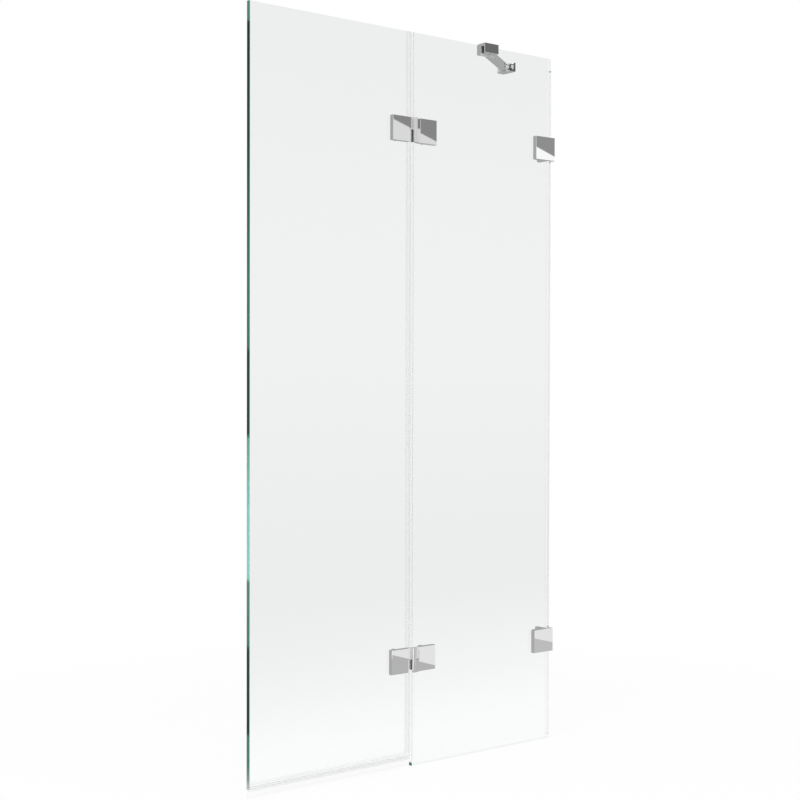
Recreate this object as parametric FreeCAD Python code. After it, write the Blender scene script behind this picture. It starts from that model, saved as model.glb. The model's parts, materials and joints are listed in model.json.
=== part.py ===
import FreeCAD, Part
import math
import os

# Frameless shower screen: a fixed glass panel held to a wall and a glass door hinged on it.
# X runs along the glass toward the wall, Y from the dry side to the wet side, Z up.
# The origin is the centre of the fixed panel's bottom face. All lengths are in millimetres.

# Glass panels
glass_thickness = 12.0
screen_height = 2000.0
fixed_width = 520.0
door_width = 517.0
panel_gap = 8.0              # between the two glass edges
wall_gap = 4.0               # between the fixed panel and the wall
door_floor_gap = 24.0        # under the door glass
arris = 1.0                  # bevel along the polished edges
glass_hole_radius = 7.0

# Heights of the fittings, the same for hinges and wall brackets
upper_fitting_drop = 267.0   # centre below the top edge
lower_fitting_rise = 294.0   # centre above the bottom edge
fitting_height = 67.0

# Front plates, screws and sleeves shared by hinges and wall brackets
front_plate_thickness = 12.8
gasket_thickness = 1.5
gasket_inset = 1.0
plate_bevel = 0.8
screw_spacing = 36.0
screw_radius = 3.0
screw_clearance = 0.3
screw_grip = 7.0             # length of screw inside the front plate
screw_tip_room = 1.0
screw_head_radius = 5.5
screw_head_height = 3.5
screw_head_clearance = 0.3
thread_clearance = 0.05
hex_socket_radius = 2.4
hex_socket_depth = 2.0
sleeve_clearance = 0.2

# Hinge leaves and barrel
hinge_plate_width = 58.0
hinge_half_gap = 18.0        # from the barrel axis to each plate
disc_radius = 13.0           # round clamping discs on the wet side
disc_thickness = 6.5
disc_bevel = 1.2
barrel_radius = 6.2
barrel_forward = 0.8         # axis in front of the front plates
door_web_recess = 3.5        # door knuckle's web behind the front of its plate
web_overlap = 4.0            # web of a knuckle inside its plate
pin_radius = 3.0
pin_head_radius = 4.5
pin_head_height = 2.0
pin_fit = 0.05
knuckle_roof = 3.0           # closed top of the door knuckle
bush_wall = 1.2
washer_thickness = 1.0
washer_gap = 0.2

# Wall brackets
bracket_plate_width = 75.0
bracket_wall_clearance = 1.0
bracket_screw_from_edge = 29.0
angle_width = 52.0           # leg on the glass, measured from the wall
angle_inset = 4.0            # angle shorter than the front plate at each end
angle_leg_thickness = 7.0
flange_thickness = 8.0
flange_depth = 42.0          # behind the back of the glass
flange_corner = 3.0
flange_hole_radius = 3.0
flange_hole_spacing = 36.0
flange_sink_radius = 5.8
flange_sink_depth = 2.8
flange_hole_from_end = 14.0

# Seals on the upright glass edges
seal_thickness = 1.2
door_seal_front_leg = 17.0
door_seal_back_leg = 7.0
fixed_seal_leg = 7.5
wall_seal_leg = 6.0
wall_seal_drop = 35.0        # bare glass above the seal on the wall side
seal_fitting_gap = 1.0       # from a seal's end to a hinge or bracket
seal_play = 0.5              # between the door's bulb and the fixed seal
bulb_radius = 2.4
bulb_wall = 0.7
fixed_seal_lift = 11.0       # bare glass below the fixed panel's seals

# Seal under the door
bottom_seal_leg = 13.5
bottom_seal_base = 4.3
bottom_seal_wall = 1.4
rib_height = 1.0
rib_depth = 0.5
rib_rise = 6.5               # ribs above the foot of the glass
blade_root = 1.6
blade_tip = 0.8
blade_lean = 3.0
blade_floor_gap = 1.5
seal_end_gap = 0.4           # between the bottom seal and the side seal

# Brace from the top edge of the fixed panel to the wall
clamp_from_wall = 242.2
clamp_width = 52.0
clamp_front_thickness = 4.0
clamp_front_drop = 17.0      # front leg below the top of the glass
clamp_back_thickness = 16.0
clamp_back_drop = 25.5
clamp_foot_rise = 4.0        # back leg's foot slopes up by this much
clamp_bridge = 8.0
clamp_chamfer = 6.5
clamp_edge = 0.3
pad_thickness = 1.0
pad_end_inset = 2.5
pad_foot_inset = 5.0
set_screw_radius = 2.5
set_screw_spacing = 38.0
set_screw_above_foot = 17.0
set_screw_hex_radius = 1.4
set_screw_sunk = 1.5
arm_width = 24.0
arm_height = 15.0
arm_below_top = 7.0          # underside of the arm below the top of the glass
arm_root_shift = 4.0         # middle of the arm's root beside the middle of the clamp
arm_screw_radius = 2.0
arm_screw_spacing = 14.0
arm_screw_shift = 7.5        # from the middle of the arm's root toward the wall
arm_screw_rise = 3.8         # above the underside of the arm
arm_screw_grip = 9.0
arm_screw_head_radius = 3.8
arm_screw_head_height = 3.0
eye_from_wall = 16.0
eye_depth = 177.0            # eye behind the middle of the glass
clevis_width = 52.0
clevis_wall = 3.0
clevis_plate_rise = 5.0      # wall plate above the upper ear
clevis_play = 0.5            # between the arm and each ear
clevis_reach = 27.0
clevis_corner = 11.0         # on the open side
clevis_cheek_corner = 2.0    # on the closed side
clevis_hole_spacing = 34.0
clevis_hole_radius = 2.75
clevis_pin_radius = 4.0
clevis_pin_fit = 0.1
clevis_pin_head_radius = 6.5
clevis_pin_head_height = 3.0
clevis_pin_end = 1.0         # pin below the lower ear

overrun = 2.0                # cuts run this far past the faces they open

# Places worked out from the sizes
glass_front = -glass_thickness / 2
glass_back = glass_thickness / 2
fixed_left = -fixed_width / 2
fixed_right = fixed_width / 2
door_right = fixed_left - panel_gap
door_left = door_right - door_width
wall_x = fixed_right + wall_gap
plate_back_y = glass_front - gasket_thickness
plate_front_y = plate_back_y - front_plate_thickness
wet_seat_y = glass_back + gasket_thickness
hinge_x = fixed_left - panel_gap / 2
hinge_y = plate_front_y - barrel_forward
leaf_middle = hinge_half_gap + hinge_plate_width / 2
door_screw_x = hinge_x - leaf_middle
fixed_screw_x = hinge_x + leaf_middle
bracket_right = wall_x - bracket_wall_clearance
bracket_left = bracket_right - bracket_plate_width
bracket_screw_x = fixed_right - bracket_screw_from_edge
upper_z = screen_height - upper_fitting_drop
lower_z = lower_fitting_rise
fitting_levels = {"upper": upper_z, "lower": lower_z}

up = FreeCAD.Vector(0, 0, 1)
inward = FreeCAD.Vector(0, 1, 0)
outward = FreeCAD.Vector(0, -1, 0)
to_wall = FreeCAD.Vector(1, 0, 0)

parts = {}


# Small helpers

def vec(x, y, z):
    return FreeCAD.Vector(x, y, z)


def box(x0, x1, y0, y1, z0, z1):
    return Part.makeBox(x1 - x0, y1 - y0, z1 - z0, vec(x0, y0, z0))


def rod(radius, start, direction, length):
    return Part.makeCylinder(radius, length, start, direction)


def closed_face(corners):
    return Part.Face(Part.makePolygon(corners + corners[:1]))


def fused(pieces):
    shape = pieces[0].fuse(pieces[1:])
    return shape.removeSplitter()


def edges_on_plane(shape, axis, level):
    """Edges that lie in the plane where one coordinate has the given value."""
    near = glass_thickness / 1000
    found = []
    for edge in shape.Edges:
        places = [getattr(vertex.Point, axis) for vertex in edge.Vertexes]
        if all(abs(place - level) < near for place in places):
            found.append(edge)
    return found


def turned(profile, start, direction):
    """Turned piece from (radius, distance) points, standing at start along a direction."""
    face = closed_face([vec(radius, 0, distance) for radius, distance in profile])
    piece = face.revolve(vec(0, 0, 0), up, 360)
    piece.Placement = FreeCAD.Placement(start, FreeCAD.Rotation(up, direction))
    return piece


def hexagon_rod(radius, start, direction, length):
    angles = [math.radians(60 * step) for step in range(6)]
    face = closed_face([vec(radius * math.cos(angle), radius * math.sin(angle), 0) for angle in angles])
    bar = face.extrude(vec(0, 0, length))
    bar.Placement = FreeCAD.Placement(start, FreeCAD.Rotation(up, direction))
    return bar


def pair_levels(centre_z, spacing):
    return [centre_z - spacing / 2, centre_z + spacing / 2]


def screw_levels(centre_z):
    return pair_levels(centre_z, screw_spacing)


# Glass panels with bevelled edges and holes for the clamping screws

def glass_panel(left, right, bottom, screw_columns):
    panel = box(left, right, glass_front, glass_back, bottom, screen_height)
    edges = edges_on_plane(panel, "y", glass_front) + edges_on_plane(panel, "y", glass_back)
    panel = panel.makeChamfer(arris, edges)
    for x in screw_columns:
        for level in fitting_levels.values():
            for z in screw_levels(level):
                start = vec(x, glass_front - overrun, z)
                hole = rod(glass_hole_radius, start, inward, glass_thickness + 2 * overrun)
                panel = panel.cut(hole)
    return panel


parts["door_glass"] = glass_panel(door_left, door_right, door_floor_gap, [door_screw_x])
parts["fixed_glass"] = glass_panel(fixed_left, fixed_right, 0, [fixed_screw_x, bracket_screw_x])


# Front plates on the dry side, plain in front, with blind screw holes in the back

def front_plate(left, right, centre_z):
    bottom = centre_z - fitting_height / 2
    plate = box(left, right, plate_front_y, plate_back_y, bottom, bottom + fitting_height)
    return plate.makeChamfer(plate_bevel, edges_on_plane(plate, "y", plate_front_y))


def with_blind_holes(plate, x, centre_z):
    depth = screw_grip + screw_tip_room
    for z in screw_levels(centre_z):
        start = vec(x, plate_back_y + overrun, z)
        plate = plate.cut(rod(screw_radius + thread_clearance, start, outward, depth + overrun))
    return plate


# Sleeves in the glass holes, clamping screws and flat gaskets

def sleeve_pair(x, centre_z):
    inner = screw_radius + screw_clearance
    outer = glass_hole_radius - sleeve_clearance
    profile = [(inner, 0), (outer, 0), (outer, glass_thickness), (inner, glass_thickness)]
    return Part.makeCompound([turned(profile, vec(x, glass_front, z), inward)
                              for z in screw_levels(centre_z)])


def screw_pair(x, centre_z, clamp_thickness):
    """Socket screws from the wet side, their heads sunk flush in what they clamp."""
    tip_y = plate_back_y - screw_grip
    face_y = wet_seat_y + clamp_thickness
    total = face_y - tip_y
    reach = total - screw_head_height
    profile = [(0, 0), (screw_radius, 0), (screw_radius, reach), (screw_head_radius, reach),
               (screw_head_radius, total), (0, total)]
    screws = []
    for z in screw_levels(centre_z):
        socket = hexagon_rod(hex_socket_radius, vec(x, face_y - hex_socket_depth, z), inward,
                             hex_socket_depth + overrun)
        screws.append(turned(profile, vec(x, tip_y, z), inward).cut(socket))
    return Part.makeCompound(screws)


def sheet_gasket(left, right, y, half_height, x, centre_z):
    sheet = box(left, right, y, y + gasket_thickness, centre_z - half_height, centre_z + half_height)
    for z in screw_levels(centre_z):
        start = vec(x, y - overrun, z)
        hole = rod(screw_radius + screw_clearance, start, inward, gasket_thickness + 2 * overrun)
        sheet = sheet.cut(hole)
    return sheet


def front_gasket(left, right, x, centre_z):
    half = fitting_height / 2 - gasket_inset
    return sheet_gasket(left + gasket_inset, right - gasket_inset, plate_back_y, half, x, centre_z)


# Hinges: the upper knuckle turns with the door, the lower one stays with the fixed panel

def knuckle(side, bottom, top, web_recess):
    """Half barrel with its web; side is -1 on the door leaf and +1 on the fixed leaf."""
    front_y = barrel_forward + web_recess
    back_y = barrel_forward + front_plate_thickness

    def place(x, y):
        return vec(hinge_x + side * x, hinge_y + y, bottom)

    def on_barrel(angle):
        return place(barrel_radius * math.cos(angle), barrel_radius * math.sin(angle))

    def tangent_angle(y, turn):
        reach = math.hypot(hinge_half_gap, y)
        return math.atan2(y, hinge_half_gap) + turn * math.acos(barrel_radius / reach)

    if web_recess:
        front_angle = math.asin(front_y / barrel_radius)
    else:
        front_angle = tangent_angle(front_y, -1)
    back_angle = tangent_angle(back_y, 1)
    far_angle = (front_angle + back_angle) / 2 + math.pi
    start, end = on_barrel(front_angle), on_barrel(back_angle)
    inner = hinge_half_gap + web_overlap
    corners = [end, place(hinge_half_gap, back_y), place(inner, back_y), place(inner, front_y),
               place(hinge_half_gap, front_y), start]
    round_side = Part.Arc(start, on_barrel(far_angle), end).toShape()
    straight_sides = [Part.makeLine(a, b) for a, b in zip(corners, corners[1:])]
    outline = Part.Wire([round_side] + straight_sides)
    return Part.Face(outline).extrude(vec(0, 0, top - bottom))


def disc_pair(x, centre_z):
    """Round clamping discs with sunk seats for the screw heads."""
    inner = screw_radius + screw_clearance
    seat = screw_head_radius + screw_head_clearance
    floor = disc_thickness - screw_head_height
    profile = [(inner, 0), (disc_radius, 0), (disc_radius, disc_thickness - disc_bevel),
               (disc_radius - disc_bevel, disc_thickness), (seat, disc_thickness), (seat, floor),
               (inner, floor)]
    return Part.makeCompound([turned(profile, vec(x, wet_seat_y, z), inward)
                              for z in screw_levels(centre_z)])


def leaf_gaskets(left, right, x, centre_z):
    inner = screw_radius + screw_clearance
    outer = disc_radius - gasket_inset
    ring = [(inner, 0), (outer, 0), (outer, gasket_thickness), (inner, gasket_thickness)]
    rings = [turned(ring, vec(x, glass_back, z), inward) for z in screw_levels(centre_z)]
    return Part.makeCompound([front_gasket(left, right, x, centre_z)] + rings)


def hinge_leaf(name, left, right, x, centre_z, leaf):
    """One leaf with everything that clamps it on its panel."""
    parts[name + "_leaf"] = with_blind_holes(leaf, x, centre_z)
    parts[name + "_discs"] = disc_pair(x, centre_z)
    parts[name + "_gaskets"] = leaf_gaskets(left, right, x, centre_z)
    parts[name + "_sleeves"] = sleeve_pair(x, centre_z)
    parts[name + "_screws"] = screw_pair(x, centre_z, disc_thickness)


def hinge(name, centre_z):
    foot = centre_z - fitting_height / 2
    head = centre_z + fitting_height / 2
    split = centre_z - washer_thickness / 2
    door_foot = split + washer_thickness + washer_gap
    pin_top = head - knuckle_roof
    pin_bore = pin_radius + pin_fit
    bush_radius = pin_bore + bush_wall

    door_inner = hinge_x - hinge_half_gap
    door_outer = door_inner - hinge_plate_width
    door_leaf = fused([front_plate(door_outer, door_inner, centre_z),
                       knuckle(-1, door_foot, head, door_web_recess)])
    bush_hole = rod(bush_radius + pin_fit, vec(hinge_x, hinge_y, door_foot - overrun), up,
                    pin_top - door_foot + overrun)
    hinge_leaf(name + "_door", door_outer, door_inner, door_screw_x, centre_z, door_leaf.cut(bush_hole))

    fixed_inner = hinge_x + hinge_half_gap
    fixed_outer = fixed_inner + hinge_plate_width
    fixed_leaf = fused([front_plate(fixed_inner, fixed_outer, centre_z), knuckle(1, foot, split, 0)])
    fixed_leaf = fixed_leaf.cut(rod(pin_bore, vec(hinge_x, hinge_y, foot), up, fitting_height))
    head_seat = rod(pin_head_radius + screw_head_clearance, vec(hinge_x, hinge_y, foot - overrun), up,
                    pin_head_height + overrun)
    hinge_leaf(name + "_fixed", fixed_inner, fixed_outer, fixed_screw_x, centre_z, fixed_leaf.cut(head_seat))

    pin_length = pin_top - pin_fit - foot
    pin_profile = [(0, 0), (pin_head_radius, 0), (pin_head_radius, pin_head_height),
                   (pin_radius, pin_head_height), (pin_radius, pin_length), (0, pin_length)]
    parts[name + "_pin"] = turned(pin_profile, vec(hinge_x, hinge_y, foot), up)

    bush_length = pin_top - door_foot
    bush_profile = [(pin_bore, 0), (bush_radius, 0), (bush_radius, bush_length), (pin_bore, bush_length)]
    parts[name + "_bush"] = turned(bush_profile, vec(hinge_x, hinge_y, door_foot), up)

    washer_profile = [(pin_bore, 0), (barrel_radius, 0), (barrel_radius, washer_thickness),
                      (pin_bore, washer_thickness)]
    parts[name + "_washer"] = turned(washer_profile, vec(hinge_x, hinge_y, split), up)


for level_name, level in fitting_levels.items():
    hinge(level_name + "_hinge", level)


# Wall brackets: a front plate, and an angle on the wet side that carries the glass on the wall

def wall_angle(centre_z):
    bottom = centre_z - fitting_height / 2 + angle_inset
    top = centre_z + fitting_height / 2 - angle_inset
    leg_face = wet_seat_y + angle_leg_thickness
    flange_end = glass_back + flange_depth
    flange_face = wall_x - flange_thickness
    corners = [vec(wall_x - angle_width, wet_seat_y, bottom), vec(wall_x, wet_seat_y, bottom),
               vec(wall_x, flange_end, bottom), vec(flange_face, flange_end, bottom),
               vec(flange_face, leg_face, bottom), vec(wall_x - angle_width, leg_face, bottom)]
    angle = closed_face(corners).extrude(vec(0, 0, top - bottom))
    rounded = [edge for edge in edges_on_plane(angle, "y", flange_end)
               if edge.BoundBox.XLength > flange_thickness / 2]
    angle = angle.makeFillet(flange_corner, rounded)
    for z in screw_levels(centre_z):
        start = vec(bracket_screw_x, wet_seat_y - overrun, z)
        length = angle_leg_thickness + 2 * overrun
        angle = angle.cut(rod(screw_radius + screw_clearance, start, inward, length))
        seat = vec(bracket_screw_x, leg_face - screw_head_height, z)
        angle = angle.cut(rod(screw_head_radius + screw_head_clearance, seat, inward,
                              screw_head_height + overrun))
    for z in pair_levels(centre_z, flange_hole_spacing):
        y = flange_end - flange_hole_from_end
        start = vec(flange_face - overrun, y, z)
        angle = angle.cut(rod(flange_hole_radius, start, to_wall, flange_thickness + 2 * overrun))
        sink = Part.makeCone(flange_sink_radius, flange_hole_radius, flange_sink_depth,
                             vec(flange_face, y, z), to_wall)
        angle = angle.cut(sink)
    return angle


def wall_bracket(name, centre_z):
    plate = front_plate(bracket_left, bracket_right, centre_z)
    parts[name + "_front_plate"] = with_blind_holes(plate, bracket_screw_x, centre_z)
    parts[name + "_wall_angle"] = wall_angle(centre_z)
    back_half = fitting_height / 2 - angle_inset - gasket_inset
    back_left = wall_x - angle_width + gasket_inset
    back = sheet_gasket(back_left, fixed_right - arris, glass_back, back_half, bracket_screw_x, centre_z)
    front = front_gasket(bracket_left, fixed_right, bracket_screw_x, centre_z)
    parts[name + "_gaskets"] = Part.makeCompound([front, back])
    parts[name + "_sleeves"] = sleeve_pair(bracket_screw_x, centre_z)
    parts[name + "_screws"] = screw_pair(bracket_screw_x, centre_z, angle_leg_thickness)


for level_name, level in fitting_levels.items():
    wall_bracket(level_name + "_bracket", level)


# Seals on the upright glass edges, cut away round the fittings

def edge_channel(edge_x, toward, front_leg, back_leg, bottom, top):
    """Channel over a glass edge; toward is +1 or -1, the way the edge faces."""
    front_x = edge_x - toward * front_leg
    back_x = edge_x - toward * back_leg
    outer_x = edge_x + toward * seal_thickness
    front = glass_front - seal_thickness
    back = glass_back + seal_thickness
    outline = [(front_x, front), (outer_x, front), (outer_x, back), (back_x, back),
               (back_x, glass_back), (edge_x, glass_back), (edge_x, glass_front), (front_x, glass_front)]
    face = closed_face([vec(x, y, bottom) for x, y in outline])
    return face.extrude(vec(0, 0, top - bottom))


def bulb(base_x, height, bottom, top):
    """Hollow round-nosed bulb standing on a channel's base and facing the wall side."""
    def loop(radius, tip_x):
        first, last = vec(base_x, -radius, bottom), vec(base_x, radius, bottom)
        shoulder = tip_x - radius
        low, high = vec(shoulder, -radius, bottom), vec(shoulder, radius, bottom)
        nose = Part.Arc(low, vec(tip_x, 0, bottom), high).toShape()
        return Part.Face(Part.Wire([Part.makeLine(first, low), nose, Part.makeLine(high, last),
                                    Part.makeLine(last, first)]))

    tip = base_x + height
    section = loop(bulb_radius, tip).cut(loop(bulb_radius - bulb_wall, tip - bulb_wall))
    return section.extrude(vec(0, 0, top - bottom))


def seal_spans(bottom, top):
    """Three stretches of an edge: below, between and above the two fittings."""
    half = fitting_height / 2 + seal_fitting_gap
    return {"lower": (bottom, lower_z - half), "middle": (lower_z + half, upper_z - half),
            "upper": (upper_z + half, top)}


bottom_seal_top = door_floor_gap + bottom_seal_leg

for span_name, (foot, head) in seal_spans(bottom_seal_top + seal_end_gap, screen_height).items():
    channel = edge_channel(door_right, 1, door_seal_front_leg, door_seal_back_leg, foot, head)
    bulb_height = panel_gap - 2 * seal_thickness - seal_play
    nose = bulb(door_right + seal_thickness, bulb_height, foot, head)
    parts["door_side_seal_" + span_name] = fused([channel, nose])

for span_name, (foot, head) in seal_spans(fixed_seal_lift, screen_height).items():
    channel = edge_channel(fixed_left, -1, fixed_seal_leg, fixed_seal_leg, foot, head)
    parts["fixed_side_seal_" + span_name] = channel

for span_name, (foot, head) in seal_spans(fixed_seal_lift, screen_height - wall_seal_drop).items():
    channel = edge_channel(fixed_right, 1, wall_seal_leg, wall_seal_leg, foot, head)
    nose = bulb(fixed_right + seal_thickness, wall_gap - seal_thickness, foot, head)
    parts["wall_seal_" + span_name] = fused([channel, nose])


# Seal under the door: a ribbed grip on the glass and a thin blade down to the tray

def bottom_seal():
    foot = door_floor_gap
    base = foot - bottom_seal_base
    outer = glass_back + bottom_seal_wall
    rib_foot = foot + rib_rise
    rib_head = rib_foot + rib_height
    rib_out = outer + rib_depth
    root = glass_thickness / 4
    tip = root + blade_lean
    outline = [(-outer, base), (root - blade_root / 2, base), (tip - blade_tip / 2, blade_floor_gap),
               (tip + blade_tip / 2, blade_floor_gap), (root + blade_root / 2, base), (outer, base),
               (outer, rib_foot), (rib_out, rib_foot), (rib_out, rib_head), (outer, rib_head),
               (outer, bottom_seal_top), (glass_back, bottom_seal_top), (glass_back, foot),
               (glass_front, foot), (glass_front, bottom_seal_top), (-outer, bottom_seal_top),
               (-outer, rib_head), (-rib_out, rib_head), (-rib_out, rib_foot), (-outer, rib_foot)]
    face = closed_face([vec(door_left, y, z) for y, z in outline])
    return face.extrude(vec(door_width, 0, 0))


parts["door_bottom_seal"] = bottom_seal()


# Brace clamp: a saddle over the top edge, closed on the glass by two set screws

clamp_x = wall_x - clamp_from_wall
clamp_leg_face = glass_back + pad_thickness
clamp_back_face = clamp_leg_face + clamp_back_thickness
clamp_front_face = glass_front - pad_thickness - clamp_front_thickness
clamp_top = screen_height + pad_thickness + clamp_bridge
arm_bottom = screen_height - arm_below_top
arm_middle_z = arm_bottom + arm_height / 2
arm_screw_z = arm_bottom + arm_screw_rise
arm_root_x = clamp_x - arm_root_shift
set_screw_z = screen_height - clamp_back_drop + set_screw_above_foot
set_screw_places = pair_levels(clamp_x, set_screw_spacing)
arm_screw_places = pair_levels(arm_root_x + arm_screw_shift, arm_screw_spacing)


def leg_bore(radius, x, z, length):
    """Bore into the back leg from inside the saddle."""
    start = vec(x, clamp_leg_face - pad_thickness / 2, z)
    return rod(radius, start, inward, length + pad_thickness / 2)


def clamp_saddle():
    front_foot = screen_height - clamp_front_drop
    back_foot = screen_height - clamp_back_drop
    roof = screen_height + pad_thickness
    jaw = glass_front - pad_thickness
    outline = [(clamp_front_face, front_foot), (jaw, front_foot), (jaw, roof), (clamp_leg_face, roof),
               (clamp_leg_face, back_foot), (clamp_back_face, back_foot + clamp_foot_rise),
               (clamp_back_face, clamp_top - clamp_chamfer), (clamp_back_face - clamp_chamfer, clamp_top),
               (clamp_front_face, clamp_top)]
    left = clamp_x - clamp_width / 2
    saddle = closed_face([vec(left, y, z) for y, z in outline]).extrude(vec(clamp_width, 0, 0))
    saddle = saddle.makeChamfer(clamp_edge, edges_on_plane(saddle, "y", clamp_front_face))
    through = clamp_back_thickness + overrun
    for x in set_screw_places:
        saddle = saddle.cut(leg_bore(set_screw_radius + thread_clearance, x, set_screw_z, through))
    for x in arm_screw_places:
        saddle = saddle.cut(leg_bore(arm_screw_radius + screw_clearance, x, arm_screw_z, through))
        seat = arm_screw_head_radius + screw_head_clearance
        saddle = saddle.cut(leg_bore(seat, x, arm_screw_z, arm_screw_head_height))
    return saddle


def clamp_pads():
    left = clamp_x - clamp_width / 2 + pad_end_inset
    right = clamp_x + clamp_width / 2 - pad_end_inset
    pad_top = screen_height - arris
    foot = screen_height - clamp_front_drop + pad_foot_inset
    front = box(left, right, glass_front - pad_thickness, glass_front, foot, pad_top)
    back = box(left, right, glass_back, clamp_leg_face, foot, pad_top)
    return Part.makeCompound([front, back])


def set_screw(x):
    length = clamp_back_thickness - set_screw_sunk
    body = rod(set_screw_radius, vec(x, clamp_leg_face, set_screw_z), inward, length)
    socket_foot = vec(x, clamp_leg_face + length - hex_socket_depth, set_screw_z)
    return body.cut(hexagon_rod(set_screw_hex_radius, socket_foot, inward, hex_socket_depth + overrun))


def arm_screw(x):
    total = clamp_back_thickness + arm_screw_grip
    profile = [(0, 0), (arm_screw_head_radius, 0), (arm_screw_head_radius, arm_screw_head_height),
               (arm_screw_radius, arm_screw_head_height), (arm_screw_radius, total), (0, total)]
    screw = turned(profile, vec(x, clamp_leg_face, arm_screw_z), inward)
    socket_foot = vec(x, clamp_leg_face - overrun, arm_screw_z)
    return screw.cut(hexagon_rod(hex_socket_radius, socket_foot, inward, hex_socket_depth + overrun))


parts["brace_clamp"] = clamp_saddle()
parts["brace_clamp_pads"] = clamp_pads()
parts["brace_set_screws"] = Part.makeCompound([set_screw(x) for x in set_screw_places])
parts["brace_arm_screws"] = Part.makeCompound([arm_screw(x) for x in arm_screw_places])


# Brace arm: a flat bar, mitred on the clamp and rounded about its eye at the wall

eye_x = wall_x - eye_from_wall
arm_run_x = eye_x - arm_root_x
arm_run_y = eye_depth - clamp_back_face
arm_angle = math.atan2(arm_run_y, arm_run_x)


def brace_arm():
    along = vec(math.cos(arm_angle), math.sin(arm_angle), 0)
    across = vec(-math.sin(arm_angle), math.cos(arm_angle), 0)
    eye = vec(eye_x, eye_depth, arm_bottom)
    half = arm_width / 2
    run = math.hypot(arm_run_x, arm_run_y)
    mitre = half / math.tan(arm_angle)
    short_root = eye - along * (run - mitre) - across * half
    long_root = eye - along * (run + mitre) + across * half
    short_end = eye - across * half
    long_end = eye + across * half
    nose = Part.Arc(short_end, eye + along * half, long_end).toShape()
    outline = Part.Wire([Part.makeLine(short_root, short_end), nose,
                         Part.makeLine(long_end, long_root), Part.makeLine(long_root, short_root)])
    arm = Part.Face(outline).extrude(vec(0, 0, arm_height))
    pin_hole = rod(clevis_pin_radius + clevis_pin_fit, eye - up * overrun, up, arm_height + 2 * overrun)
    arm = arm.cut(pin_hole)
    for x in arm_screw_places:
        start = vec(x, clamp_back_face - overrun, arm_screw_z)
        depth = arm_screw_grip + screw_tip_room
        arm = arm.cut(rod(arm_screw_radius + thread_clearance, start, inward, depth + overrun))
    return arm


parts["brace_arm"] = brace_arm()


# Wall clevis: a plate with two ears and one closed cheek, and the pin through the arm's eye

clevis_bottom = arm_bottom - clevis_play - clevis_wall
clevis_top = arm_bottom + arm_height + clevis_play + clevis_wall


def wall_clevis():
    near_y = eye_depth - clevis_width / 2
    far_y = eye_depth + clevis_width / 2
    front_x = wall_x - clevis_reach
    body = box(front_x, wall_x, near_y, far_y, clevis_bottom, clevis_top)
    for y, radius in ((near_y, clevis_corner), (far_y, clevis_cheek_corner)):
        upright = [edge for edge in edges_on_plane(body, "y", y)
                   if edge.BoundBox.XMax < eye_x and edge.BoundBox.ZLength > clevis_wall]
        body = body.makeFillet(radius, upright)
    mouth = box(front_x - overrun, wall_x - clevis_wall, near_y - overrun, far_y - clevis_wall,
                clevis_bottom + clevis_wall, clevis_top - clevis_wall)
    plate = box(wall_x - clevis_wall, wall_x, near_y, far_y, clevis_bottom, clevis_top + clevis_plate_rise)
    body = fused([body.cut(mouth), plate])
    pin_hole = rod(clevis_pin_radius + clevis_pin_fit, vec(eye_x, eye_depth, clevis_bottom - overrun), up,
                   clevis_top - clevis_bottom + 2 * overrun)
    body = body.cut(pin_hole)
    for y in pair_levels(eye_depth, clevis_hole_spacing):
        start = vec(wall_x - clevis_wall - overrun, y, arm_middle_z)
        body = body.cut(rod(clevis_hole_radius, start, to_wall, clevis_wall + 2 * overrun))
    return body


def clevis_pin():
    length = clevis_top - clevis_bottom + clevis_pin_end
    total = length + clevis_pin_head_height
    profile = [(0, 0), (clevis_pin_radius, 0), (clevis_pin_radius, length), (clevis_pin_head_radius, length),
               (clevis_pin_head_radius, total), (0, total)]
    return turned(profile, vec(eye_x, eye_depth, clevis_bottom - clevis_pin_end), up)


parts["brace_wall_clevis"] = wall_clevis()
parts["brace_clevis_pin"] = clevis_pin()


os.makedirs("parts", exist_ok=True)
for part_name, shape in parts.items():
    shape.exportStep("parts/" + part_name + ".step")
    print(part_name, "valid" if shape.isValid() else "INVALID", len(shape.Solids), "solids",
          round(shape.Volume), "mm3")
print(len(parts), "nodes; arm at", round(math.degrees(arm_angle), 1), "degrees to the glass")
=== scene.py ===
import json
import math

import bpy
from mathutils import Matrix, Vector


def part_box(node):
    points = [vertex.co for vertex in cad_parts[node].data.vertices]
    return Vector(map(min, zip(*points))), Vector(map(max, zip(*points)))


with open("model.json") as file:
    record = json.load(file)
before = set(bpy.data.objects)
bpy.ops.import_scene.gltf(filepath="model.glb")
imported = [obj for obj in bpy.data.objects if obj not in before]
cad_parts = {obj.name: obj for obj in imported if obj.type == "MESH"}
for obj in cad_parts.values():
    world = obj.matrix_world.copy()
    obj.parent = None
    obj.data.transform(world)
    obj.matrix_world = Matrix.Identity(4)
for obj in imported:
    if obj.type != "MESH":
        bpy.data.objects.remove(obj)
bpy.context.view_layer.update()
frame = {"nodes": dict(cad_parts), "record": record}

nodes = frame["nodes"]
print("frame loaded:", len(nodes), "nodes")


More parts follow.
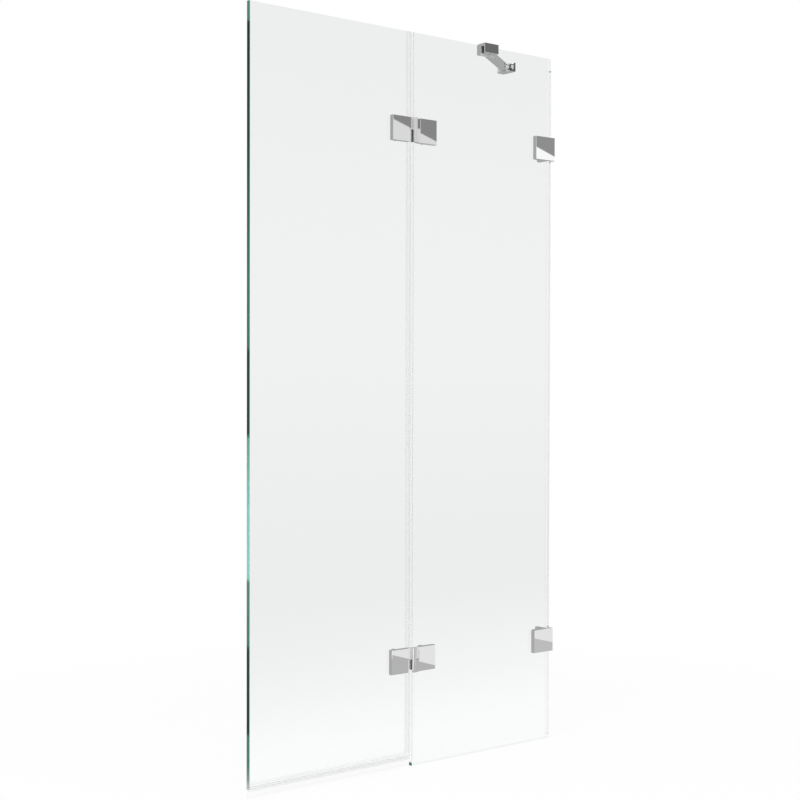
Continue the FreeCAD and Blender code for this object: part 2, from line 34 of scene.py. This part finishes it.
# Shader writing: a wire is a node's output, so that shader maths reads as maths
class Wire:
    def __init__(self, sheet, socket):
        self.sheet = sheet
        self.socket = socket

    def maths(self, operation, first, second=0.0):
        return self.sheet.add("ShaderNodeMath", {"operation": operation}, {0: first, 1: second})

    def __add__(self, other):
        return self.maths("ADD", self, other)

    def __radd__(self, other):
        return self.maths("ADD", other, self)

    def __sub__(self, other):
        return self.maths("SUBTRACT", self, other)

    def __rsub__(self, other):
        return self.maths("SUBTRACT", other, self)

    def __mul__(self, other):
        return self.maths("MULTIPLY", self, other)

    def __rmul__(self, other):
        return self.maths("MULTIPLY", other, self)

    def __truediv__(self, other):
        return self.maths("DIVIDE", self, other)

    def __rtruediv__(self, other):
        return self.maths("DIVIDE", other, self)

    def __gt__(self, other):
        return self.maths("GREATER_THAN", self, other)

    def __lt__(self, other):
        return self.maths("LESS_THAN", self, other)

    def __abs__(self):
        return self.maths("ABSOLUTE", self)

    def fraction(self):
        return self.maths("FRACT", self)

    def orElse(self, other):                 # the larger of two masks
        return self.maths("MAXIMUM", self, other)


class Sheet:
    def __init__(self, tree):
        self.tree = tree
        tree.nodes.clear()

    def add(self, kind, settings=None, sockets=None, out=0):
        node = self.tree.nodes.new(kind)
        for key, value in (settings or {}).items():
            if key == "stops":
                self.fillRamp(node.color_ramp, value)
            else:
                setattr(node, key, value)
        for key, value in (sockets or {}).items():
            if isinstance(value, Wire):
                self.tree.links.new(value.socket, node.inputs[key])
            else:
                node.inputs[key].default_value = value
        return Wire(self, node.outputs[out]) if len(node.outputs) else None

    def fillRamp(self, ramp, stops):
        while len(ramp.elements) < len(stops):
            ramp.elements.new(1.0)
        for element, (place, shade) in zip(ramp.elements, stops):
            element.position = place
            element.color = opaque(shade)

    def split(self, wire):                   # a vector's three parts
        node = self.add("ShaderNodeSeparateXYZ", None, {0: wire}).socket.node
        return [Wire(self, node.outputs[axis]) for axis in range(3)]

    def place(self):                         # where a point lies, in metres
        return self.add("ShaderNodeTexCoord", out="Object")

    def facing(self):                        # which way its face looks
        return self.split(self.add("ShaderNodeTexCoord", out="Normal"))

    def outside(self):                       # 1 on faces that are seen from outside
        return 1 - self.add("ShaderNodeNewGeometry", out="Backfacing")

    def noise(self, place, scale, detail):
        return self.add("ShaderNodeTexNoise", None, {"Vector": place, "Scale": scale, "Detail": detail})

    def ramp(self, value, low, high):        # 0 at low, 1 at high, eased between
        return self.add("ShaderNodeMapRange", {"interpolation_type": "SMOOTHSTEP"},
                        {"Value": value, "From Min": low, "From Max": high})

    def blend(self, factor, first, second):  # two colours
        return self.add("ShaderNodeMix", {"data_type": "RGBA"}, {0: factor, 6: first, 7: second}, 2)

    def layer(self, factor, first, second):  # two shaders
        return self.add("ShaderNodeMixShader", None, {0: factor, 1: first, 2: second})

    def seeThrough(self, tint):
        return self.add("ShaderNodeBsdfTransparent", None, {"Color": opaque(tint)})

    def glossOver(self, body, ior, share):   # clear gloss on the outer side of a see-through body
        mirror = self.add("ShaderNodeBsdfGlossy", None, {"Color": (1, 1, 1, 1), "Roughness": 0.0})
        shine = self.add("ShaderNodeFresnel", None, {"IOR": ior}) * self.outside() * share
        return self.layer(shine, body, mirror)

    def ray(self, kind):
        return self.add("ShaderNodeLightPath", out="Is " + kind + " Ray")

    def finish(self, surface, target="ShaderNodeOutputMaterial"):
        self.add(target, None, {"Surface": surface})


def newMaterial(name):
    material = bpy.data.materials.new(name)
    material.use_nodes = True
    return material, Sheet(material.node_tree)


def colour(red, green, blue):                # a screen colour of 0 to 255 as light, by the usual curve
    def light(value):
        share = value / 255
        return share / 12.92 if share <= 0.04045 else ((share + 0.055) / 1.055) ** 2.4
    return (light(red), light(green), light(blue))


def opaque(shade):
    return (*shade, 1.0)


# Camera at the photograph's viewing angle
cameraLook = {
    "place": (-2.7507, -3.0877, 1.0438),
    "azimuth": 38.456,       # degrees from the glass's own straight view
    "pitch": -0.995,
    "roll": 0.137,
    "lens": 65.43,
    "sensor": 36.0,
    "shiftUp": 0.0122,
}


def makeCamera(look):
    turn = math.radians(look["azimuth"])
    pitch = math.radians(look["pitch"])
    roll = math.radians(look["roll"])
    ahead = Vector((math.sin(turn) * math.cos(pitch), math.cos(turn) * math.cos(pitch), math.sin(pitch)))
    level = Vector((math.cos(turn), -math.sin(turn), 0))
    over = level.cross(ahead)
    right = level * math.cos(roll) + over * math.sin(roll)
    up = over * math.cos(roll) - level * math.sin(roll)
    data = bpy.data.cameras.new("camera")
    data.lens = look["lens"]
    data.sensor_width = look["sensor"]
    data.shift_y = look["shiftUp"]
    camera = bpy.data.objects.new("camera", data)
    axes = Matrix((right, up, -ahead)).transposed()
    camera.matrix_world = Matrix.Translation(look["place"]) @ axes.to_4x4()
    bpy.context.scene.collection.objects.link(camera)
    bpy.context.scene.camera = camera


makeCamera(cameraLook)
print("camera set")


# Plain white studio: world, floor, soft lamps and grey cards that only polished metal mirrors
studioLook = {
    "worldLight": 0.72,      # what the white world gives to matt surfaces
    "floorHalf": 40.0,
    "floorShade": (0.92, 0.92, 0.92),
    "floorWhite": 0.86,      # share of plain white under the screen, the rest takes the shadow
    "shadowReach": (0.7, 2.4),  # the floor turns wholly white between these distances
    "shadowMiddle": (-0.26, 0.0, 0.0),
    "clearLayers": 32,       # see-through faces that one line of sight may cross
}


def seenStraight(sheet):                     # rays that show a thing plainly, mirrored or through glass
    return sheet.ray("Camera").orElse(sheet.ray("Glossy")).orElse(sheet.ray("Transmission"))


def makeWorld(look):
    world = bpy.data.worlds.new("studio")
    world.use_nodes = True
    bpy.context.scene.world = world
    sheet = Sheet(world.node_tree)
    strength = seenStraight(sheet) * (1 - look["worldLight"]) + look["worldLight"]
    white = sheet.add("ShaderNodeBackground", None, {"Color": (1, 1, 1, 1), "Strength": strength})
    sheet.finish(white, "ShaderNodeOutputWorld")


def quadMesh(name, corners):
    mesh = bpy.data.meshes.new(name)
    mesh.from_pydata(corners, [], [list(range(len(corners)))])
    piece = bpy.data.objects.new(name, mesh)
    bpy.context.scene.collection.objects.link(piece)
    return piece


def makeFloor(look):
    half = look["floorHalf"]
    floor = quadMesh("floor", [(-half, -half, 0), (half, -half, 0), (half, half, 0), (-half, half, 0)])
    material, sheet = newMaterial("paleFloor")
    matt = sheet.add("ShaderNodeBsdfDiffuse", None, {"Color": opaque(look["floorShade"])})
    white = sheet.add("ShaderNodeEmission", None, {"Color": (1, 1, 1, 1), "Strength": 1.0})
    away = sheet.add("ShaderNodeVectorMath", {"operation": "DISTANCE"},
                     {0: sheet.place(), 1: look["shadowMiddle"]}, "Value")
    far = sheet.ramp(away, *look["shadowReach"])
    share = far * (1 - look["floorWhite"]) + look["floorWhite"]
    sheet.finish(sheet.layer(seenStraight(sheet) * share, matt, white))
    floor.data.materials.append(material)


lampLook = {
    "overhead": {"place": (-0.6, -1.2, 4.2), "aim": (-0.2, 0, 0.9), "size": (3.0, 3.0), "power": 60},
    "left": {"place": (-4.2, -1.5, 2.2), "aim": (-0.3, 0, 1.0), "size": (1.6, 2.6), "power": 45},
}


def makeLamp(name, look):
    data = bpy.data.lights.new(name, "AREA")
    data.shape = "RECTANGLE"
    data.size, data.size_y = look["size"]
    data.energy = look["power"]
    lamp = bpy.data.objects.new(name, data)
    place = Vector(look["place"])
    aim = (Vector(look["aim"]) - place).to_track_quat("-Z", "Y")
    lamp.matrix_world = Matrix.Translation(place) @ aim.to_matrix().to_4x4()
    lamp.visible_glossy = False
    bpy.context.scene.collection.objects.link(lamp)


# Cards stand on a few planes: each plane puts a card's two numbers into place
cardPlanes = {
    "front": lambda a, b: (a, -4.0, b),
    "beforeFront": lambda a, b: (a, -3.98, b),
    "back": lambda a, b: (a, 4.5, b),
    "beforeBack": lambda a, b: (a, 4.48, b),
    "left": lambda a, b: (-4.0, a, b),
    "right": lambda a, b: (4.2, a, b),
    "floor": lambda a, b: (a, b, 0.002),
    "overFloor": lambda a, b: (a, b, 0.003),
    "ceiling": lambda a, b: (a, b, 4.5),
    "overhead": lambda a, b: (a, b, 4.6),
}


def oblong(low, high, near, far):
    return [(low, near), (high, near), (high, far), (low, far)]


cardLook = {
    "darkCanopy": {"grey": 0.25, "plane": "front",
                   "outline": [(2.2, 3.0), (2.2, 2.851), (3.75, 2.39), (3.75, 3.0)]},
    "darkCanopyEnd": {"grey": 0.285, "plane": "front",
                      "outline": [(3.75, 3.0), (3.75, 2.707), (5.2, 2.27), (5.2, 3.0)]},
    "darkTop": {"grey": 0.148, "plane": "front", "outline": oblong(2.2, 5.2, 3.0, 4.6)},
    "paleFront": {"grey": 0.73, "plane": "front",
                  "outline": [(2.2, 0.6), (3.75, 0.6), (3.75, 2.39), (2.2, 2.851)]},
    "paleBehindCamera": {"grey": 0.64, "plane": "front", "outline": oblong(-4.0, 2.2, 1.6, 3.6)},
    "darkBehindCamera": {"grey": 0.08, "plane": "beforeFront", "outline": oblong(-1.5, 2.2, 2.75, 3.35)},
    "paleLeft": {"grey": 0.66, "plane": "left", "outline": oblong(-4.0, 1.5, 1.6, 3.6)},
    "paleRight": {"grey": 0.68, "plane": "right", "outline": oblong(-4.0, -0.3, 1.2, 4.0)},
    "greyRight": {"grey": 0.42, "plane": "right", "outline": oblong(-0.3, 4.0, 0.0, 5.0)},
    "greyBack": {"grey": 0.42, "plane": "back", "outline": oblong(-4.4, 9.0, 0.0, 6.0)},
    "floorNear": {"grey": 0.475, "plane": "floor", "outline": oblong(-1.6, 0.70, -2.6, 0.3)},
    "floorPale": {"grey": 0.81, "plane": "floor", "outline": oblong(0.70, 1.08, -2.6, -0.9)},
    "floorStrip": {"grey": 0.535, "plane": "floor", "outline": oblong(1.08, 1.388, -2.6, -0.9)},
    "floorFar": {"grey": 0.81, "plane": "floor", "outline": oblong(1.388, 2.6, -2.6, -0.9)},
    "floorSide": {"grey": 0.47, "plane": "floor", "outline": oblong(0.70, 3.0, -0.9, 0.3)},
    "floorBack": {"grey": 0.42, "plane": "floor", "outline": oblong(-2.6, 0.3, 0.3, 2.5)},
    "darkSlot": {"grey": 0.24, "plane": "beforeBack", "outline": oblong(-3.95, -3.889, 2.757, 2.95)},
    "paleSlot": {"grey": 0.73, "plane": "beforeBack", "outline": oblong(-3.95, -3.889, 2.50, 2.757)},
    "paleFloorSlot": {"grey": 0.81, "plane": "overFloor",
                      "outline": [(-1.216, 1.15), (-1.146, 1.15), (-1.39, 1.45), (-1.46, 1.45)]},
    "darkCeiling": {"grey": 0.12, "plane": "ceiling", "outline": oblong(0.8, 3.4, 0.0, 1.4)},
    "stripedFront": {"grey": 0.42, "stripe": 0.82, "plane": "front",
                     "outline": oblong(-6.0, 2.2, 0.0, 1.6)},
    "stripedLeft": {"grey": 0.42, "stripe": 0.82, "plane": "left",
                    "outline": oblong(-4.0, 1.5, 0.0, 1.6)},
    "stripedFloor": {"grey": 0.45, "stripe": 0.82, "plane": "floor",
                     "outline": oblong(-7.0, 7.0, -10.0, -2.6)},
    "stripedCeiling": {"grey": 0.40, "stripe": 0.82, "plane": "overhead",
                       "outline": oblong(-7.0, 7.0, -9.0, 9.0)},
}
stripeLook = {"pitch": 0.9, "edge": (0.42, 0.58), "lean": (1.0, 0.6, 0.7)}   # lean gives the stripes' slant


def cardShade(sheet, look):
    grey = opaque((look["grey"],) * 3)
    if "stripe" not in look:
        return grey
    along = sheet.add("ShaderNodeVectorMath", {"operation": "DOT_PRODUCT"},
                      {0: sheet.place(), 1: stripeLook["lean"]}, "Value")
    wave = abs((along / stripeLook["pitch"]).fraction() * 2 - 1)
    return sheet.blend(sheet.ramp(wave, *stripeLook["edge"]), grey, opaque((look["stripe"],) * 3))


def makeCard(name, look):
    put = cardPlanes[look["plane"]]
    card = quadMesh(name, [put(*corner) for corner in look["outline"]])
    material, sheet = newMaterial(name + "Grey")
    plain = sheet.add("ShaderNodeEmission", None, {"Color": cardShade(sheet, look), "Strength": 1.0})
    clear = sheet.seeThrough((1, 1, 1))
    sheet.finish(sheet.layer(sheet.ray("Singular"), plain, clear))   # clear glass doesn't mirror the cards
    card.data.materials.append(material)
    card.visible_camera = False
    card.visible_diffuse = False
    card.visible_transmission = False
    card.visible_shadow = False


makeWorld(studioLook)
makeFloor(studioLook)
for lampName, look in lampLook.items():
    makeLamp(lampName, look)
for cardName, look in cardLook.items():
    makeCard(cardName, look)
bpy.context.scene.cycles.transparent_max_bounces = studioLook["clearLayers"]
print("studio set")


# Places of the glass and its fittings, from the frame
fixedLow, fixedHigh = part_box("fixed_glass")
doorLow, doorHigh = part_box("door_glass")
glassHeight = fixedHigh.z
plateLow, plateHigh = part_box("upper_bracket_front_plate")
fittingHalf = (plateHigh.z - plateLow.z) / 2
upperLevel = plateLow.z + fittingHalf
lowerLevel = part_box("lower_bracket_front_plate")[0].z + fittingHalf
facingLimit = {"turned": 0.5, "flat": 0.8, "square": 0.9}   # how far a face looks along an axis


# Clear glass with green polished edges
glassLook = {
    "clearTint": (0.988, 0.996, 0.992),   # one face of two
    "shadedTint": (0.911, 0.919, 0.915),
    "heightShades": [(0.08, 0.00), (0.16, 0.17), (0.25, 0.46), (0.35, 0.75), (0.45, 0.93), (0.55, 1.00),
               (0.75, 0.90), (1.15, 0.73), (1.50, 0.78), (2.00, 0.93)],   # height, share of the deep tint
    "overlap": 0.0039,       # height, share of the shaded tint: painted shade that changes with height, clear at the foot
    "footLine": 0.003,       # painted contact shadow along the fixed panel's foot, where it meets the tray
    "footShadowTint": (0.955, 0.96, 0.958),
    "ior": 1.5,
    "edgeRoughness": 0.06,
    "edgeShine": 0.15,
    "mottleScale": 9.0,      # faint clouds in the green
    "mottleDetail": 2.0,
    "mottleShare": 0.15,
    "mottleTint": colour(48, 92, 80),
    "fittingReach": fittingHalf - 0.003,   # half height of a stretch in the shade of a fitting
    "shadeSplit": (-0.0025, 0.0005),       # across such an edge, from its near to its far half
    "shadeNear": colour(82, 88, 86),
    "shadeFar": colour(205, 208, 206),
    "sealLift": 0.009,       # bare foot of the fixed panel's upright edges
    "freeStrip": 0.002,      # width of the door's free edge with its bevel
    "rim": 0.002,            # the free edge's green as seen through the face beside it
    "rimShare": 0.35,
    "farLine": 0.005,        # painted highlight: the free edge is paler behind this line
    "farHighlightTint": colour(190, 240, 224),
}

# Greens of the polished edges, and the heights at which the door's edge goes from one to the next: these
# stretches are painted reflections of the studio
glassGreens = {
    "sealed": (181, 189, 186),   # behind the bottom seal
    "greyishGreen": (150, 160, 157),
    "grey": (120, 150, 140),
    "middle": (75, 120, 107),
    "deep": (26, 57, 47),
    "pale": (134, 200, 186),
    "palish": (96, 160, 143),
    "soft": (58, 110, 94),
    "deepest": (8, 32, 24),
}
edgeReflectionGreens = [
    (0.000, "sealed"), (0.038, "sealed"),
    (0.041, "greyishGreen"), (0.055, "grey"),
    (0.085, "middle"), (0.161, "middle"),
    (0.165, "deep"), (0.380, "deep"),
    (0.388, "middle"), (0.548, "middle"),
    (0.556, "pale"), (0.720, "pale"), (0.908, "palish"),
    (0.916, "deep"), (1.128, "deep"),
    (1.136, "soft"), (1.300, "soft"),
    (1.640, "deep"), (1.948, "deepest"),
    (1.954, "middle"),
]
plainGreens = [(0.0, "middle"), (2.0, "middle")]


def glassBody(sheet, y, z, nx):              # see-through, with a painted shade in its tint that changes with height
    look = glassLook
    heightShades = [(height / glassHeight, (share,) * 3) for height, share in look["heightShades"]]
    # painted shade: the tint darkens and clears with height
    depth = sheet.add("ShaderNodeValToRGB", {"stops": heightShades}, {0: z / glassHeight})
    body = sheet.layer(depth, sheet.seeThrough(look["clearTint"]), sheet.seeThrough(look["shadedTint"]))
    body = sheet.layer(nx * y < -look["overlap"], body, sheet.seeThrough((1, 1, 1)))
    # painted contact shadow at the fixed panel's foot
    body = sheet.layer(z < look["footLine"], body, sheet.seeThrough(look["footShadowTint"]))
    return sheet.glossOver(body, look["ior"], 1.0)


def glassEdge(sheet, place, greens, byFitting, pale):
    look = glassLook
    y, z = sheet.split(place)[1:]
    # painted reflection: the edge's green changes with height
    stops = [(height / glassHeight, colour(*glassGreens[shade])) for height, shade in greens]
    green = sheet.add("ShaderNodeValToRGB", {"stops": stops}, {0: z / glassHeight})
    mottle = sheet.noise(place, look["mottleScale"], look["mottleDetail"]) * look["mottleShare"]
    green = sheet.blend(mottle, green, opaque(look["mottleTint"]))
    across = sheet.ramp(y, *look["shadeSplit"])
    shade = sheet.blend(across, opaque(look["shadeNear"]), opaque(look["shadeFar"]))
    green = sheet.blend(byFitting, green, shade)
    # painted highlight on the free edge's far half and rim
    green = sheet.blend(pale, green, opaque(look["farHighlightTint"]))
    return sheet.add("ShaderNodeBsdfPrincipled", None,
                     {"Base Color": green, "Roughness": look["edgeRoughness"],
                      "IOR": look["ior"], "Specular IOR Level": look["edgeShine"]})


def glassMaterial(name, greens, freeLimit):  # a free edge lies before freeLimit along the screen
    look = glassLook
    turned, square = facingLimit["turned"], facingLimit["square"]
    material, sheet = newMaterial(name)
    place = sheet.place()
    x, y, z = sheet.split(place)
    nx, ny, nz = sheet.facing()

    free = x < freeLimit
    nearFree = x < freeLimit + look["rim"]
    rim = nearFree * (ny < -square)
    # painted highlight: where the free edge turns paler
    pale = (y > look["farLine"]).orElse(rim * look["rimShare"]) * free
    reach = look["fittingReach"]
    byFitting = (abs(z - upperLevel) < reach).orElse(abs(z - lowerLevel) < reach) * (1 - nearFree)
    edge = glassEdge(sheet, place, greens, byFitting, pale)

    bare = free.orElse(z < look["sealLift"]).orElse(abs(nz) > turned).orElse(byFitting).orElse(nx > turned)
    upright = (abs(ny) < square) * (abs(nx) > turned)
    edgeMask = (abs(ny) < turned).orElse(upright).orElse(rim) * bare * sheet.outside()
    sheet.finish(sheet.layer(edgeMask, glassBody(sheet, y, z, nx), edge))
    return material


panelMaterials = {
    "door_glass": glassMaterial("doorGlass", edgeReflectionGreens, doorLow.x + glassLook["freeStrip"]),
    "fixed_glass": glassMaterial("fixedGlass", plainGreens, doorLow.x),   # no free edge: it all lies beyond
}
print("glass made")


# Polished chrome plate
chromeLook = {
    "tint": (0.94, 0.94, 0.94),
    "roughness": 0.008,
    "smear": 0.01,           # faint clouds in the polish
    "smearScale": 38.0,
    "smearDetail": 3.0,
    "patchRoughness": 0.5,
}


def chromeMaterial(name, look, paintedPatches=()):   # each patch paints shade and glow, matt, on faces turned against an axis
    material, sheet = newMaterial(name)
    place = sheet.place()
    spots = sheet.split(place)
    facing = sheet.facing()
    smear = sheet.noise(place, look["smearScale"], look["smearDetail"]) * look["smear"]
    roughness = smear + look["roughness"]
    tint = opaque(look["tint"])
    glow = (0.0, 0.0, 0.0, 1.0)
    metal = 1.0
    for patch in paintedPatches:
        mask = facing[patch["axis"]] < -facingLimit["turned"]
        for axis, low, high in patch["limits"]:
            mask = mask * (spots[axis] > low) * (spots[axis] < high)
        tint = sheet.blend(mask, tint, opaque(patch["tint"]))
        glow = sheet.blend(mask, glow, opaque(patch["glow"]))
        roughness = roughness.orElse(mask * look["patchRoughness"])
        metal = (1 - mask) * metal
    shine = sheet.add("ShaderNodeBsdfPrincipled", None,
                      {"Base Color": tint, "Metallic": metal, "Roughness": roughness,
                       "Emission Color": glow, "Emission Strength": 1.0})
    sheet.finish(shine)
    return material


# Painted shade and painted glow inside the brace's clamp and clevis, as matt patches on the chrome
patchSkin = 0.0004
alongX, alongY, alongZ = 0, 1, 2


def paintedPatch(axis, face, shade, glow=0.0, limits=()):   # a painted patch on the face at this place, within the limits
    return {"axis": axis, "limits": [(axis, face - patchSkin, face + patchSkin), *limits],
            "tint": (shade,) * 3, "glow": (glow,) * 3}


clampLook = {
    "backShade": 0.72,       # painted light on the inner face of the back leg, with a painted glow
    "backGlow": 0.07,
    "slotShade": 0.03,       # painted shade in the open end of the slot beside the pads
    "slotLength": 0.010,
    "slotDrop": 0.017,       # from the glass's top down to the cover's foot
    "slotRise": 0.001,       # from the glass's top up to the saddle's roof
}
padLow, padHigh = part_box("brace_clamp_pads")
slotLimits = [
    (alongX, padLow.x, padLow.x + clampLook["slotLength"]),
    (alongZ, glassHeight - clampLook["slotDrop"], glassHeight + clampLook["slotRise"]),
]
clampPaintedPatches = [
    paintedPatch(alongY, padHigh.y, clampLook["backShade"], clampLook["backGlow"]),
    paintedPatch(alongY, padHigh.y, clampLook["slotShade"], limits=slotLimits),
]

clevisLook = {
    "wall": 0.003,           # thickness of plate and cheek
    # painted light: the cheek's and the plate's inner faces are lightened and glow
    "cheekShade": 0.8,
    "cheekGlow": 0.15,
    "plateShade": 0.9,
    "plateGlow": 0.4,
    "bandShade": 0.04,       # painted shade: dark band along the plate's foot
    "bandHeight": 0.0129,
    "columnShade": 0.02,     # painted shade: dark upright strip near the plate's middle
    "columnPlace": (-0.0087, 0.0011),
    "edgeShade": 0.04,       # painted shade at the plate's open end
    "edgeWidth": 0.0053,
}
clevisLow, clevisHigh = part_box("brace_wall_clevis")
clevisMiddle = (clevisLow.y + clevisHigh.y) / 2
plateFace = clevisHigh.x - clevisLook["wall"]
cheekFace = clevisHigh.y - clevisLook["wall"]
bandLimit = (alongZ, clevisLow.z, clevisLow.z + clevisLook["bandHeight"])
columnLimit = (alongY, *(clevisMiddle + place for place in clevisLook["columnPlace"]))
edgeLimit = (alongY, clevisLow.y, clevisLow.y + clevisLook["edgeWidth"])
clevisPaintedPatches = [
    paintedPatch(alongY, cheekFace, clevisLook["cheekShade"], clevisLook["cheekGlow"]),
    paintedPatch(alongX, plateFace, clevisLook["plateShade"], clevisLook["plateGlow"]),
    paintedPatch(alongX, plateFace, clevisLook["bandShade"], limits=[bandLimit]),
    paintedPatch(alongX, plateFace, clevisLook["columnShade"], limits=[columnLimit]),
    paintedPatch(alongX, plateFace, clevisLook["edgeShade"], limits=[edgeLimit]),
]


# Stainless steel of screws and pins
steelLook = {
    "tint": (0.62, 0.62, 0.61),
    "roughness": 0.22,
    "grain": 0.16,           # turning marks in the roughness
    "grainScale": 900.0,
    "grainDetail": 2.0,
    "bumpStrength": 0.05,
    "bumpDepth": 0.0002,
}


def steelMaterial(look):
    material, sheet = newMaterial("turnedSteel")
    grain = sheet.noise(sheet.place(), look["grainScale"], look["grainDetail"])
    bump = sheet.add("ShaderNodeBump", None,
                     {"Height": grain, "Strength": look["bumpStrength"], "Distance": look["bumpDepth"]})
    metal = sheet.add("ShaderNodeBsdfPrincipled", None,
                      {"Base Color": opaque(look["tint"]), "Metallic": 1.0,
                       "Roughness": grain * look["grain"] + look["roughness"], "Normal": bump})
    sheet.finish(metal)
    return material


# Clear vinyl of the seals: nearly invisible on the flat, greyer on ledges, ribs and corners
channelBase = 0.0013         # a seal's wall across the glass edge
sealLooks = {
    "doorSeal": {"flat": 0.965, "side": 0.996, "ledge": 0.9,
                 "line": {"axis": alongX, "low": doorHigh.x + 0.0011, "high": fixedLow.x, "share": 0.994}},
    "fixedSeal": {"flat": 0.985, "side": 0.996, "ledge": 0.9,
                  "line": {"axis": alongX, "low": fixedLow.x - channelBase,
                           "high": fixedLow.x + channelBase, "frontOnly": True, "share": 0.87}},
    "wallSeal": {"flat": 0.986, "side": 0.985, "ledge": 0.35, "darkEnds": True,
                 "line": {"axis": alongX, "low": fixedHigh.x - 0.0005,
                          "high": fixedHigh.x + channelBase, "frontOnly": True, "share": 0.955}},
    "bottomSeal": {"flat": 0.988, "side": 0.95, "ledge": 0.65,
                   "lowLedge": {"below": doorLow.z + 0.003, "share": 0.90},
                   "line": {"axis": alongZ, "low": doorLow.z + 0.0064, "high": doorLow.z + 0.0076,
                            "frontOnly": True, "share": 0.82}},
}
sealGloss = {"ior": 1.5, "share": 0.5}
wallSealParts = [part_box("wall_seal_" + name) for name in ("lower", "middle", "upper")]
sealEnds = {
    "heights": [corner.z for box in wallSealParts for corner in box][1:],   # the lowest end stays plain
    "depth": 0.0022,
    "beyond": fixedHigh.x + channelBase,   # only the bulb beyond the channel
    "share": 0.12,
}


def sealMaterial(name, look):
    material, sheet = newMaterial(name)
    spots = sheet.split(sheet.place())
    facing = sheet.facing()

    def film(share):
        return sheet.seeThrough((share, share, share))

    line = look["line"]
    spot = spots[line["axis"]]
    onLine = (spot > line["low"]) * (spot < line["high"])
    if "frontOnly" in line:
        onLine = onLine * (spots[alongY] < 0.0)
    flat = sheet.layer(onLine, film(look["flat"]), film(line["share"]))
    body = sheet.layer(abs(facing[alongY]) > facingLimit["flat"], film(look["side"]), flat)
    if "darkEnds" in look:
        bulb = spots[alongX] > sealEnds["beyond"]
        for height in sealEnds["heights"]:
            nearEnd = abs(spots[alongZ] - height) < sealEnds["depth"]
            body = sheet.layer(bulb * nearEnd, body, film(sealEnds["share"]))
    ledge = film(look["ledge"])
    if "lowLedge" in look:
        low = look["lowLedge"]
        ledge = sheet.layer(spots[alongZ] < low["below"], ledge, film(low["share"]))
    body = sheet.layer(abs(facing[alongZ]) > facingLimit["turned"], body, ledge)
    sheet.finish(sheet.glossOver(body, sealGloss["ior"], sealGloss["share"]))
    return material


# Soft gaskets and pads
gasketLook = {"tint": colour(205, 207, 206), "roughness": 0.55}
padLook = {"tint": colour(34, 35, 35), "roughness": 0.7}
rubberSkin = {"scale": 700.0, "detail": 3.0, "share": 0.15, "bumpStrength": 0.2, "bumpDepth": 0.0003}


def rubberMaterial(name, look):
    material, sheet = newMaterial(name)
    skin = sheet.noise(sheet.place(), rubberSkin["scale"], rubberSkin["detail"])
    bump = sheet.add("ShaderNodeBump", None,
                     {"Height": skin, "Strength": rubberSkin["bumpStrength"],
                      "Distance": rubberSkin["bumpDepth"]})
    rubber = sheet.add("ShaderNodeBsdfPrincipled", None,
                       {"Base Color": opaque(look["tint"]), "Normal": bump,
                        "Roughness": skin * rubberSkin["share"] + look["roughness"]})
    sheet.finish(rubber)
    return material


# Natural nylon of sleeves, bushes and washers
nylonLook = {
    "tint": colour(226, 224, 214),
    "cloud": colour(206, 203, 190),
    "cloudScale": 160.0,
    "cloudDetail": 2.0,
    "cloudShare": 0.3,
    "cloudRoughness": 0.1,
    "roughness": 0.42,
}


def nylonMaterial(look):
    material, sheet = newMaterial("naturalNylon")
    cloud = sheet.noise(sheet.place(), look["cloudScale"], look["cloudDetail"])
    tint = sheet.blend(cloud * look["cloudShare"], opaque(look["tint"]), opaque(look["cloud"]))
    plastic = sheet.add("ShaderNodeBsdfPrincipled", None,
                        {"Base Color": tint,
                         "Roughness": cloud * look["cloudRoughness"] + look["roughness"]})
    sheet.finish(plastic)
    return material


# Which material each piece takes: its own, its seal's, or its slot's
slotMaterials = {
    "chrome": chromeMaterial("polishedChrome", chromeLook),
    "steel": steelMaterial(steelLook),
    "gasket": rubberMaterial("softGasket", gasketLook),
    "pad": rubberMaterial("rubberPad", padLook),
    "nylon": nylonMaterial(nylonLook),
}
sealMaterials = {name: sealMaterial(name, look) for name, look in sealLooks.items()}
nodeMaterials = {
    **panelMaterials,
    "brace_clamp": chromeMaterial("clampChrome", chromeLook, clampPaintedPatches),
    "brace_wall_clevis": chromeMaterial("clevisChrome", chromeLook, clevisPaintedPatches),
}
print("materials made")


def materialFor(node, slotName):
    if node in nodeMaterials:
        return nodeMaterials[node]
    if slotName == "clear_seal":
        side = "bottom" if "bottom" in node else node.split("_")[0]
        return sealMaterials[side + "Seal"]
    return slotMaterials[slotName]


def dress(node, material):
    piece = nodes[node]
    piece.data.materials.clear()
    piece.data.materials.append(material)


for part in frame["record"]["subparts"]:
    node, slotName = part["node"], part["material_slot"]
    dress(node, materialFor(node, slotName))
print("pieces dressed:", len(nodes))

bpy.context.scene.view_settings.view_transform = "Standard"
